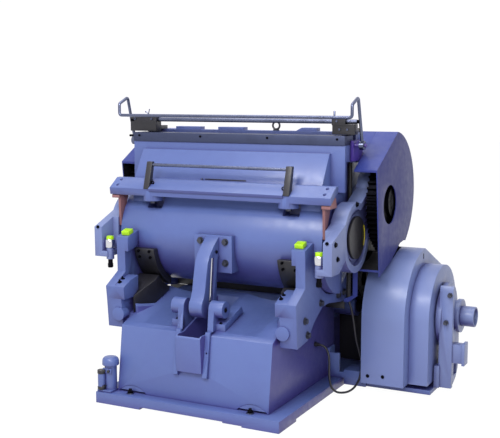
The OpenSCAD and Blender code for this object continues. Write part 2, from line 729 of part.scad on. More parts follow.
module end_bracket() color(primer) place() {
    difference() {
        union() {
            slab([[318, 1000], [376, 1038], [392, 1030], [404, 985], [318, 985]],
                barrel_half + seat, arm_x + 28);
            slab([[330, 986], [402, 986], [372, 915], [338, 840]], barrel_half + seat, arm_x - 2);
        }
        x_rod(trunnion_r + 25, barrel_half, arm_x, trunnion_c);
        x_rod(eye_r + 8, arm_x - 1, arm_x + 42, trunnion_c);
        beam_under();
    }
}

module beam_under() slab([[280, beam_front[1] - beam_t - 16], [312, beam_front[1] - beam_t - seat],
    [380, 1087 - beam_t - 4 - seat], [398, 1087 - beam_t - seat], [430, 1087], [430, 1200], [280, 1200]],
    barrel_half - 60, beam_w / 2 + 20);

module left_end_bracket() mirrored() end_bracket();
module right_end_bracket() end_bracket();

post_x = 388;
module beam_posts() color(black) place() both()
    slab([[301, beam_line(308)], [308, beam_line(308)], [338, beam_line(338)], [362, 1176], [340, 1176]],
        post_x - 16, post_x + 16);

module beam_rod() color(bright) place() x_rod(8, -post_x + 16, post_x - 16, [347, 1160]);

// rocking sectors bolted under the barrel
rocker_r = 288;
module rocker() color(black) place() difference() {
    intersection() {
        x_rod(rocker_r, 345, wall_in - 11, barrel_c);
        slab([[250, 735], [380, 735], [470, 620], [470, 500], [250, 540]], 345, wall_in - 11);
    }
    barrel_cut(seat, 600);
}

module left_rocker() mirrored() rocker();
module right_rocker() rocker();

module centre_lever() color(enamel) place() difference() {
    union() {
        slab([[296, 826], [241, 785], [202, 745], [182, 705], [165, 632], [155, 580], [141, 547],
            [124, 511], [168, 497], [222, 486], [268, 500], [271, 580], [272, 648], [284, 725], [340, 760],
            [340, 826]], -35, 35);
        x_rod(56, -35, 35, guide_c + [8, 4]);
        slab([[300, 649], [296, 831], [350, 831], [388, 649]], -104, 104);
    }
    barrel_cut(seat, 120);
    // slot for the damper rod
    slab([[196, 520], [196, 560], [222, 730], [250, 730], [238, 560], [238, 520]], 17, 36);
}

module lever_bolts() color(steel) place()
    for (x = [-69, 69], z = [697, 801])
        translate([x, 299.55 - (z - 649) * 4 / 182, z]) rotate([90, 0, 0]) {
            cylinder(r = 17, h = 4);
            translate([0, 0, 4]) cylinder(r = 13, h = 12, $fn = 6);
        }

module damper_rod() color(bright) place() {
    rod([26, 217, 521.1], [26, 236, 728.9], 8);
}

// a thin disc over the trunnion's end and the arm's boss
module trunnion_disc() color(black) place()
    x_rod(trunnion_r + 19, arm_out - 11.5, arm_out + 4, trunnion_c);

module left_trunnion_disc() mirrored() trunnion_disc();
module right_trunnion_disc() trunnion_disc();

// ---------- pull arms ----------

// the quadrilateral between two circles' outer tangents
function at(c, r, a) = c + r * [cos(a), sin(a)];
function tangent_quad(c1, r1, c2, r2) =
    let (v = c2 - c1, a = atan2(v[1], v[0]), b = acos((r1 - r2) / norm(v)))
    [at(c1, r1, a + b), at(c2, r2, a + b), at(c2, r2, a - b), at(c1, r1, a - b)];

strap_r = ecc_r + 36;
boss_r = trunnion_r + 27;
module arm_outline() {
    translate(trunnion_c) circle(r = eye_r);
    translate(strap_c) circle(r = strap_r);
    polygon(tangent_quad(trunnion_c, 122, strap_c, 98));
    polygon([[228, 690], [226, 842], [400, 912], [480, 829], [400, 740], [322, 690]]);
}

module arm() color(enamel) place() difference() {
    union() {
        in_yz(arm_x, arm_out) arm_outline();
        // the sleeve that guides the plunger
        z_rod(sleeve_r, sleeve_z[0], sleeve_z[1], plunger_at[0], plunger_at[1]);
    }
    x_rod(trunnion_r + run_gap, arm_x - 1, arm_out + 1, trunnion_c);
    x_rod(ecc_r + strap_gap, arm_x - 1, arm_out + 1, strap_c);
    // the boss round the trunnion stands back, in a round channel
    x_rod(boss_r + 1, arm_out - 12, arm_out + 1, trunnion_c);
    difference() {
        x_rod(eye_r - 34, arm_out - 24, arm_out + 1, trunnion_c);
        x_rod(boss_r, arm_out - 25, arm_out + 2, trunnion_c);
    }
    // the web between the flanges
    difference() {
        slab(tangent_quad(trunnion_c, 94, strap_c, 72), arm_out - 24, arm_out + 1);
        x_rod(eye_r - 34, arm_out - 30, arm_out + 2, trunnion_c);
        x_rod(strap_r, arm_out - 30, arm_out + 2, strap_c);
    }
    // the lug stands back beside the plunger
    difference() {
        block(arm_x - 1, arm_x + 32, 200, 330, 719, 1000);
        z_rod(sleeve_r, 700, sleeve_z[1], plunger_at[0], plunger_at[1]);
    }
    z_rod(plunger_r + run_gap, 600, 800, plunger_at[0], plunger_at[1]);
}

module left_arm() mirrored() arm();
module right_arm() arm();

plunger_at = [arm_x + 2, 257];
plunger_r = 6;
sleeve_r = 20;
sleeve_z = [676, 750];
// a cap that slides down over the arm's sleeve, on a rod with a stop below
module plunger() color(bright) place() {
    difference() {
        z_rod(sleeve_r + 6, 736, 778, plunger_at[0], plunger_at[1]);
        z_rod(sleeve_r + run_gap, 735, sleeve_z[1] + 15, plunger_at[0], plunger_at[1]);
    }
    z_rod(19, 777, 795, plunger_at[0], plunger_at[1]);
    z_rod(plunger_r, 640, 770, plunger_at[0], plunger_at[1]);
    z_rod(14, 631, sleeve_z[0] - seat, plunger_at[0], plunger_at[1]);
}

module left_plunger() mirrored() plunger();
module right_plunger() plunger();

// ---------- gear train ----------

main_dist = norm(second_c - main_c);
main_mod = 2 * main_dist / (main_teeth + pinion_teeth);
mid_dist = norm(fly_c - second_c);
mid_mod = 2 * mid_dist / (mid_teeth + fly_teeth);
main_tip = main_mod * (main_teeth / 2 + 1);
pinion_tip = main_mod * (pinion_teeth / 2 + 1);

// spur gear outline with straight flanks, thinned for backlash, first tooth towards angle a0
module gear_outline(z, m, a0) {
    step = 360 / z;
    tip = m * (z / 2 + 0.9);
    root = m * (z / 2 - 1.25);
    polygon([for (i = [0 : z - 1], q = [[-0.30, root], [-0.13, tip], [0.13, tip], [0.30, root]])
        let (a = a0 + (i + q[0]) * step) q[1] * [cos(a), sin(a)]]);
}

function bearing_of(a, b) = atan2(b[1] - a[1], b[0] - a[0]);

module gear(z, m, a0, c, x0, w)
    translate([x0, c[0], c[1]]) rotate([90, 0, 90]) linear_extrude(w) gear_outline(z, m, a0);

main_key = 20;
module main_shaft() color(steel) place() {
    x_rod(main_shaft_r, -main_gear_x - main_face - 2, main_gear_x + main_face + 2, main_c);
}

main_a0 = bearing_of(main_c, second_c);
second_a0 = bearing_of(second_c, main_c) + 180 / pinion_teeth;
mid_a0 = bearing_of(second_c, fly_c);
fly_a0 = bearing_of(fly_c, second_c) + 180 / fly_teeth;

module main_gear() color(steel) place() difference() {
    union() {
        gear(main_teeth, main_mod, main_a0, main_c, main_gear_x, main_face);
        x_rod(ecc_r, arm_x + 2, main_gear_x - 4, strap_c);
        x_rod(ecc_r - 20, main_gear_x - 5, main_gear_x + 1, strap_c);
    }
    x_rod(main_shaft_r, 500, 800, main_c);
    // the web is thinner than the rim
    difference() {
        x_rod(main_tip - 46, main_gear_x + main_face - 16, main_gear_x + main_face + 1, main_c);
        x_rod(main_shaft_r + 36, main_gear_x, main_gear_x + main_face + 2, main_c);
    }
}

module left_main_gear() mirrored() main_gear();
module right_main_gear() main_gear();

module second_shaft() color(steel) place() {
    x_rod(drive_shaft_r, -main_gear_x - main_face, main_gear_x + main_face, second_c);
    for (x = [-main_gear_x - main_face, main_gear_x])
        gear(pinion_teeth, main_mod, second_a0, second_c, x, main_face);
    difference() {
        gear(mid_teeth, mid_mod, mid_a0, second_c, mid_gear_x, mid_face);
        for (a = [0 : 72 : 288])
            x_rod(38, mid_gear_x - 1, mid_gear_x + mid_face + 1, at(second_c, 128, a + 18));
    }
}

module flywheel_shaft() color(steel) place() {
    x_rod(drive_shaft_r, box_rear + 2, bracket_out + 12, fly_c);
    gear(fly_teeth, mid_mod, fly_a0, fly_c, mid_gear_x, mid_face);
    // clutch disc on the shaft
    x_rod(180, drum_out + 20, drum_out + 44, fly_c);
    x_rod(70, drum_out + 43, clutch_out - 14, fly_c);
}

fly_x = drum_x + 107;
module flywheel() color(steel) place() difference() {
    union() {
        difference() {
            x_rod(fly_r, fly_x, fly_x + fly_w, fly_c);
            x_rod(fly_r - 45, fly_x - 1, fly_x + fly_w + 1, fly_c);
        }
        x_rod(70, fly_x, fly_x + fly_w + 20, fly_c);
        for (a = [0 : 60 : 300])
            translate([fly_x + 20, fly_c[0], fly_c[1]]) rotate([a, 0, 0])
                translate([0, 40, -26]) cube([fly_w - 40, fly_r - 70, 52]);
    }
    x_rod(drive_shaft_r + run_gap, fly_x - 1, fly_x + fly_w + 21, fly_c);
}

belt_x = fly_x + 20;
belt_w = 60;
// the closed outline of a belt that runs t outside its two wheels
function belt_points(t) = let (v = motor_c - fly_c, a = atan2(v[1], v[0]),
    b = acos((fly_r - pulley_r) / norm(v)), n = 48, m = 12)
    concat([for (i = [0 : n]) at(fly_c, fly_r + seat + t, a + b + (360 - 2 * b) * i / n)],
        [for (i = [0 : m]) at(motor_c, pulley_r + seat + t, a - b + 2 * b * i / m)]);

module drive_belt() color(black) place() in_yz(belt_x, belt_x + belt_w) difference() {
    polygon(belt_points(9.5));
    polygon(belt_points(0.5));
}

module motor_pulley() color(steel) place() {
    x_rod(pulley_r, belt_x - 4, belt_x + belt_w + 4, motor_c);
    x_rod(14, 600, belt_x - 3, motor_c);
}

// ---------- safety bar ----------

bar_y = 465;
module safety_bar() color(bright) place() {
    r = bar_d / 2;
    path = [[bar_y, bar_z], [bar_y, 1465], [543, 1498], pivot_c];
    rod([-loop_x, bar_y, bar_z], [loop_x, bar_y, bar_z], r);
    both() {
        rod([loop_x, bar_y, bar_z], [loop_x, path[1][0], path[1][1]], r);
        rod([loop_x, path[1][0], path[1][1]], [loop_x, path[2][0], path[2][1]], r);
        rod([loop_x, path[2][0], path[2][1]], [loop_x, pivot_c[0] - 6, pivot_c[1] + 20], r);
        translate([loop_x, bar_y, bar_z]) sphere(r = r + 0.5);
        translate([loop_x, path[1][0], path[1][1]]) sphere(r = r + 0.5);
        translate([loop_x, path[2][0], path[2][1]]) sphere(r = r + 0.5);
        difference() {
            x_rod(22, loop_x - 12, loop_x + 12, pivot_c);
            x_rod(9 + run_gap, loop_x - 13, loop_x + 13, pivot_c);
        }
    }
}

base_plate();
base_casting();
left_cheek();
right_cheek();
stop_pads();
cheek_bolts();
left_rocker_track();
right_rocker_track();
left_guide_block();
right_guide_block();
bed_casting();
lifting_eye();
left_gear_guard();
right_gear_guard();
flywheel_guard();
clutch_guard();
outboard_bracket();
bracket_studs();
shaft_end_cover();
flywheel_bearing();
housing_bracket();
lube_pump();
drive_motor();
rear_panel();
conduit();
conduit_strip();
cable_gland();
cable();
cam_shaft();
left_clamp();
right_clamp();
bar_brackets();
platen_casting();
top_rail();
press_plate();
cross_beam();
left_end_bracket();
right_end_bracket();
beam_posts();
beam_rod();
left_rocker();
right_rocker();
centre_lever();
lever_bolts();
damper_rod();
left_trunnion_disc();
right_trunnion_disc();
left_arm();
right_arm();
left_plunger();
right_plunger();
main_shaft();
left_main_gear();
right_main_gear();
second_shaft();
flywheel_shaft();
flywheel();
drive_belt();
motor_pulley();
safety_bar();
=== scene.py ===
"""Looks of the platen die cutting press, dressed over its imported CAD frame.

Everything is in metres in the row frame: X across the machine, -Y towards the operator, Z up.
Sizes in this file are written in millimetres from the base plate's front edge, and at() moves
a point to the row frame.
"""

import json
import math

import bmesh
import bpy
from mathutils import Matrix, Vector


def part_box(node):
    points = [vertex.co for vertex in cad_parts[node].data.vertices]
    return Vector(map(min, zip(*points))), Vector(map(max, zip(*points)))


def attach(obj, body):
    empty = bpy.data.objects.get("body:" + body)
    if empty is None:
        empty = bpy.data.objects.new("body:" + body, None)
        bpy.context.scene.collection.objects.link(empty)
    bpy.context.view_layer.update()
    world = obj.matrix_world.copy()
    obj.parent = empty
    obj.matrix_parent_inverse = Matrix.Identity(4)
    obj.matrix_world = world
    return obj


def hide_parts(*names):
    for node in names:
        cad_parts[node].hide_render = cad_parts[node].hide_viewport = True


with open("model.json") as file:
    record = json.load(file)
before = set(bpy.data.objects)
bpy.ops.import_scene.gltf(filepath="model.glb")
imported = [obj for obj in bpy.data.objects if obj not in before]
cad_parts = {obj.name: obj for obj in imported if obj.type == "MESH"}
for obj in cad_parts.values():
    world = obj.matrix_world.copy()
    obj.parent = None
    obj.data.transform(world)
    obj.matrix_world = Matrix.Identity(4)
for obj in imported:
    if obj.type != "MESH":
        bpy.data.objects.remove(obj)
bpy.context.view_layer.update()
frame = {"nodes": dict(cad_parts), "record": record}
nodes = frame["nodes"]

FRONT = -0.6
MM = 0.001
LENS = 68.83
CAMERA_PLACE = (2253.3, -3742.2, 1500)
SMOOTH_ANGLE = 35
ANCHOR_X = 330
ANCHOR_INSET = 50
SAFETY_PIVOT = (608, 1269)
CONDUIT_RADIUS = 11.9
FLOOR_SIZE = 30
FLOOR_GLOW, FLOOR_SHARE = 1.07, 0.92
WORLD_LIGHT, WORLD_SEEN = 0.38, 1.06


def at(x, y, z):
    """A point given in millimetres from the base plate's front edge, in the row frame."""
    return Vector((x * MM, y * MM + FRONT, z * MM))


# ---------- camera ----------

def make_camera():
    """The photograph's own view, found from the castings' edges."""
    data = bpy.data.cameras.new("camera")
    data.sensor_fit = "HORIZONTAL"
    data.sensor_width = 36
    data.lens = LENS
    cam = bpy.data.objects.new("camera", data)
    bpy.context.collection.objects.link(cam)
    right = Vector((0.89178, 0.45248, 0))
    down = Vector((0.05728, -0.11289, -0.99196))
    ahead = Vector((-0.44884, 0.88460, -0.12659))
    turn = Matrix((right, -down, -ahead)).transposed().to_4x4()
    cam.matrix_world = Matrix.Translation(at(*CAMERA_PLACE)) @ turn
    bpy.context.scene.camera = cam


make_camera()

# ---------- cable ----------

# the route from the gland to the conduit's mouth, as in the part's source
CABLE_ROUTE = [
    (426, 604, 263), (446, 605, 262), (470, 610, 250), (488, 606, 220), (498, 595, 180), (504, 580, 135),
    (512, 572, 90), (522, 578, 55), (540, 592, 35), (562, 613, 28), (582, 650, 27), (596, 695, 38),
    (605, 735, 68), (608, 758, 115), (607, 760, 165), (602, 738, 220), (596, 715, 275), (590, 706, 330),
    (583, 702, 385), (575, 696, 435), (566, 688, 475), (562, 684, 500), (562, 684, 530)]
CABLE_RADIUS = 5.5


def link(name, data):
    obj = bpy.data.objects.new(name, data)
    bpy.context.collection.objects.link(obj)
    return obj


def smooth_route(points, steps):
    """Catmull-Rom points through a route, as the part's source makes them."""
    p = [Vector(q) for q in points]
    made = []
    for i in range(len(p) - 1):
        a, b, c, d = p[max(i - 1, 0)], p[i], p[i + 1], p[min(i + 2, len(p) - 1)]
        for k in range(steps):
            s = k / steps
            made.append(0.5 * (2 * b + (c - a) * s + (2 * a - 5 * b + 4 * c - d) * s * s
                               + (3 * b - a - 3 * c + d) * s * s * s))
    return made + [p[-1]]


def make_cable():
    route = [at(*q) for q in smooth_route(CABLE_ROUTE, 6)]
    curve = bpy.data.curves.new("control_cable", "CURVE")
    curve.dimensions = "3D"
    # each point's own radius carries the size, so the curve's box stays true
    curve.bevel_depth = 1.0
    curve.bevel_resolution = 4
    curve.use_fill_caps = True
    spline = curve.splines.new("POLY")
    spline.points.add(len(route) - 1)
    for point, q in zip(spline.points, route):
        point.co = (*q, 1)
        point.radius = CABLE_RADIUS * MM
    cable = link("control_cable", curve)
    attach(cable, "machine")
    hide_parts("cable")
    return cable


cable = make_cable()

# ---------- materials ----------


class Shader:
    """A short way to write a node tree."""

    def __init__(self, name):
        self.material = bpy.data.materials.new(name)
        self.material.use_nodes = True
        self.tree = self.material.node_tree
        self.bsdf = self.tree.nodes["Principled BSDF"]
        self.place = self.tree.nodes.new("ShaderNodeTexCoord").outputs["Object"]

    def add(self, kind, **values):
        node = self.tree.nodes.new("ShaderNode" + kind)
        for key, value in values.items():
            if key in node.inputs:
                self.put(node.inputs[key], value)
            elif hasattr(node, key):
                setattr(node, key, value)
            else:
                self.put(node.inputs[key.replace("_", " ")], value)
        return node

    def put(self, socket, value):
        if isinstance(value, bpy.types.NodeSocket):
            self.tree.links.new(value, socket)
        else:
            socket.default_value = value

    def noise(self, scale, detail=4.0, stretch=(1, 1, 1), roughness=0.5):
        place = self.place
        if tuple(stretch) != (1, 1, 1):
            place = self.add("Mapping", Vector=self.place, Scale=stretch).outputs[0]
        made = self.add("TexNoise", Vector=place, Scale=scale, Detail=detail, Roughness=roughness)
        return made.outputs["Fac"]

    def band(self, value, low, high, to_low=0.0, to_high=1.0):
        made = self.add("MapRange", Value=value)
        made.clamp = True
        for socket, number in zip(made.inputs[1:5], (low, high, to_low, to_high)):
            socket.default_value = number
        return made.outputs[0]

    def mix(self, factor, a, b):
        made = self.tree.nodes.new("ShaderNodeMix")
        made.data_type = "RGBA"
        self.put(made.inputs[0], factor)
        self.put(made.inputs[6], a)
        self.put(made.inputs[7], b)
        return made.outputs[2]

    def math(self, operation, a, b):
        made = self.tree.nodes.new("ShaderNodeMath")
        made.operation = operation
        self.put(made.inputs[0], a)
        self.put(made.inputs[1], b)
        return made.outputs[0]

    def bump(self, height, strength, distance, normal=None):
        made = self.add("Bump", Height=height, Strength=strength, Distance=distance)
        if normal is not None:
            self.put(made.inputs["Normal"], normal)
        return made.outputs[0]

    def corner_shade(self, reach):
        """Near 1 in corners and crevices within reach metres, 0 in the open: the mask for painted shade."""
        made = self.add("AmbientOcclusion", Distance=reach)
        made.samples = 8
        return self.band(made.outputs["AO"], 0.25, 0.85, 1.0, 0.0)

    def side_wall_shade(self):
        """Near 1 on walls that face across the machine, 0 on fronts and tops: the mask for painted shade on the
        side walls.
        """
        facing = self.add("SeparateXYZ", Vector=self.add("NewGeometry").outputs["Normal"])
        return self.band(self.math("ABSOLUTE", facing.outputs["X"], 0.0), 0.55, 0.95)

    def underside_shade(self):
        """Near 1 on faces turned to the floor, 0 elsewhere: the mask for painted shade on the undersides."""
        facing = self.add("SeparateXYZ", Vector=self.add("NewGeometry").outputs["Normal"])
        return self.band(facing.outputs["Z"], -0.6, 0.1, 1.0, 0.0)

    def set(self, **values):
        for key, value in values.items():
            self.put(self.bsdf.inputs[key.replace("_", " ")], value)
        return self


def linear(r, g, b):
    """A colour written as sRGB bytes."""
    return tuple(((c / 255 + 0.055) / 1.055) ** 2.4 if c > 10 else c / 255 / 12.92 for c in (r, g, b)) + (1,)


def scaled(colour, k):
    return tuple(min(1, c * k) for c in colour[:3]) + (1,)


def make_enamel(name, colour, shade, rough=0.34, peel=0.25, patch=0.1, grime=0.3, side=0.0):
    """Sprayed gloss enamel: cloudiness and orange peel, with painted violet shade in corners, on the walls facing
    across the machine (side sets how much) and on the undersides.
    """
    s = Shader(name)
    cloud = s.noise(2.3, 3)
    tint = s.mix(s.band(cloud, 0.35, 0.65), scaled(colour, 1 - patch), scaled(colour, 1 + patch))
    dirt = s.math("MULTIPLY", s.band(s.noise(9, 6, roughness=0.6), 0.45, 0.8), grime)
    tint = s.mix(dirt, tint, shade)
    # painted shade: corners and crevices, walls facing across the machine and undersides are mixed towards the
    # shade colour
    tint = s.mix(s.math("MULTIPLY", s.corner_shade(0.06), 0.75), tint, shade)
    tint = s.mix(s.math("MULTIPLY", s.side_wall_shade(), side), tint, shade)
    tint = s.mix(s.math("MULTIPLY", s.underside_shade(), 0.7), tint, shade)
    fine = s.bump(s.noise(420, 2), peel, 0.0004)
    wave = s.bump(s.noise(14, 2), 0.12, 0.004, fine)
    roughness = s.band(s.noise(30, 5), 0.3, 0.7, rough - 0.05, rough + 0.09)
    return s.set(Base_Color=tint, Roughness=roughness, Normal=wave, Coat_Weight=0.12, Coat_Roughness=0.2)


def make_steel(name, colour, rough, stretch=(1, 1, 1), metal=1.0, stain=0.25):
    """Machined or drawn steel with fine tool marks and darker oily patches."""
    s = Shader(name)
    lines = s.noise(260, 4, stretch)
    stains = s.band(s.noise(16, 6), 0.45, 0.75)
    tint = s.mix(lines, scaled(colour, 0.86), scaled(colour, 1.12))
    tint = s.mix(stains, tint, scaled(colour, 1 - stain))
    roughness = s.band(s.noise(60, 5, stretch), 0.3, 0.7, rough * 0.8, rough * 1.25)
    normal = s.bump(lines, 0.12, 0.0003)
    return s.set(Base_Color=tint, Metallic=metal, Roughness=roughness, Normal=normal)


def make_plastic(name, colour, rough, grain=300.0, depth=0.0003):
    s = Shader(name)
    tint = s.mix(s.band(s.noise(20, 4), 0.3, 0.7), scaled(colour, 0.88), scaled(colour, 1.12))
    return s.set(Base_Color=tint, Roughness=s.band(s.noise(50, 3), 0.3, 0.7, rough - 0.05, rough + 0.05),
                 Normal=s.bump(s.noise(grain, 3), 0.3, depth))


BLUE = linear(89, 107, 166)
# painted light: the sheet colour is a darker copy of BLUE, and the drum, arm and clutch colours are lighter
# copies, standing in for how light falls on those parts
SHEET_SHADED_BLUE = linear(40, 56, 134)
DRUM_LIT_BLUE = linear(120, 136, 188)
ARM_LIT_BLUE = linear(118, 132, 180)
SHADE = linear(50, 34, 106)
LOOKS = {
    "enamel": make_enamel("enamel", BLUE, SHADE, 0.36, 0.35, 0.05, 0.12),
    # base_enamel and sheet_enamel paint violet shade on the walls facing across the machine; the last number sets
    # how much
    "base_enamel": make_enamel("base_enamel", BLUE, linear(62, 46, 124), 0.4, 0.35, 0.05, 0.12, 0.7),
    "sheet_enamel": make_enamel("sheet_enamel", SHEET_SHADED_BLUE, linear(34, 30, 104), 0.55, 0.16, 0.03, 0.05, 0.6),
    "drum_enamel": make_enamel("drum_enamel", DRUM_LIT_BLUE, linear(84, 88, 150), 0.34, 0.16, 0.03, 0.0),
    # painted light: the clutch guard's colour is a lighter copy of the blue
    "clutch_enamel": make_enamel("clutch_enamel", linear(118, 133, 184), linear(84, 88, 150), 0.38, 0.16, 0.03,
                                 0.0),
    "arm_enamel": make_enamel("arm_enamel", ARM_LIT_BLUE, SHADE, 0.36, 0.35, 0.05, 0.12),
    "violet": make_enamel("violet", linear(70, 46, 146), linear(40, 24, 90), 0.4, 0.2, 0.08),
    "lime": make_plastic("lime", linear(178, 228, 20), 0.34),
    "steel": make_steel("steel", linear(86, 88, 98), 0.42),
    "gear_steel": make_steel("gear_steel", linear(20, 20, 26), 0.55),
    "ground_steel": make_steel("ground_steel", linear(176, 178, 186), 0.28, (1, 8, 8)),
    "rail_steel": make_steel("rail_steel", linear(64, 71, 99), 0.45, (1, 8, 8), 0.6),
    "bar_steel": make_steel("bar_steel", linear(104, 110, 134), 0.26, (1, 8, 8), 1.0, 0.3),
    "chrome": make_steel("chrome", linear(214, 214, 220), 0.12, (1, 1, 1), 1.0, 0.1),
    "black": make_enamel("black", linear(34, 33, 40), linear(14, 13, 18), 0.42, 0.4, 0.15),
    "primer": make_enamel("primer", linear(150, 104, 106), linear(84, 50, 62), 0.55, 0.3, 0.1),
    "black_plastic": make_plastic("black_plastic", linear(32, 31, 38), 0.45),
    "belt": make_plastic("belt", linear(28, 28, 30), 0.7, 500),
    "yellow": make_plastic("yellow", linear(214, 200, 30), 0.4),
}
LOOKS = {name: shader.material for name, shader in LOOKS.items()}

GEARS = ("main_shaft", "left_main_gear", "right_main_gear", "second_shaft", "flywheel_shaft", "flywheel",
         "motor_pulley")
# the rear panel's black is painted shade in the gap between the base and the drum
OWN_LOOK = {"top_rail": "rail_steel", "cam_shaft": "bar_steel", "safety_bar": "bar_steel",
            "flywheel_guard": "drum_enamel", "clutch_guard": "clutch_enamel", "rear_panel": "black",
            "beam_rod": "bar_steel", "left_arm": "arm_enamel", "right_arm": "arm_enamel",
            "outboard_bracket": "arm_enamel", "shaft_end_cover": "arm_enamel",
            "base_casting": "base_enamel", "base_plate": "base_enamel"}
SLOT_OF = {part["node"]: part["material_slot"] for part in frame["record"]["subparts"]}


def look_of(node):
    if node in GEARS:
        return LOOKS["gear_steel"]
    return LOOKS[OWN_LOOK.get(node, SLOT_OF[node])]


def dress(obj, material):
    obj.data.materials.clear()
    obj.data.materials.append(material)


for name, obj in nodes.items():
    dress(obj, look_of(name))
dress(cable, LOOKS["black_plastic"])

# ---------- making pieces ----------

BODY_OF = {node: body for body, members in frame["record"]["behaviour"]["bodies"].items() for node in members}


def finish_mesh(obj):
    """Bakes the modifiers in, and smooths across shallow edges."""
    graph = bpy.context.evaluated_depsgraph_get()
    mesh = bpy.data.meshes.new_from_object(obj.evaluated_get(graph))
    obj.modifiers.clear()
    obj.data = mesh
    mesh.shade_smooth()
    mesh.set_sharp_from_angle(angle=math.radians(SMOOTH_ANGLE))
    return obj


def rounded(node, width, segments=3, angle=34):
    """A copy of a CAD node with its cast or folded edges rounded; it stands for the node."""
    bm = bmesh.new()
    bm.from_mesh(nodes[node].data)
    bmesh.ops.remove_doubles(bm, verts=bm.verts, dist=2e-6)
    bmesh.ops.dissolve_limit(bm, angle_limit=math.radians(0.4), verts=bm.verts, edges=bm.edges)
    mesh = bpy.data.meshes.new(node + "_cast")
    bm.to_mesh(mesh)
    bm.free()
    obj = link(node + "_cast", mesh)
    bevel = obj.modifiers.new("round", "BEVEL")
    bevel.width = width / 1000
    bevel.segments = segments
    bevel.limit_method = "ANGLE"
    bevel.angle_limit = math.radians(angle)
    bevel.use_clamp_overlap = True
    bevel.miter_outer = "MITER_ARC"
    finish_mesh(obj)
    dress(obj, look_of(node))
    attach(obj, BODY_OF[node])
    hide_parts(node)
    return obj


def frame_of(axis):
    """Two unit vectors square to an axis."""
    axis = Vector(axis).normalized()
    side = axis.cross(Vector((0, 0, 1)) if abs(axis.z) < 0.9 else Vector((1, 0, 0))).normalized()
    return axis, side, axis.cross(side)


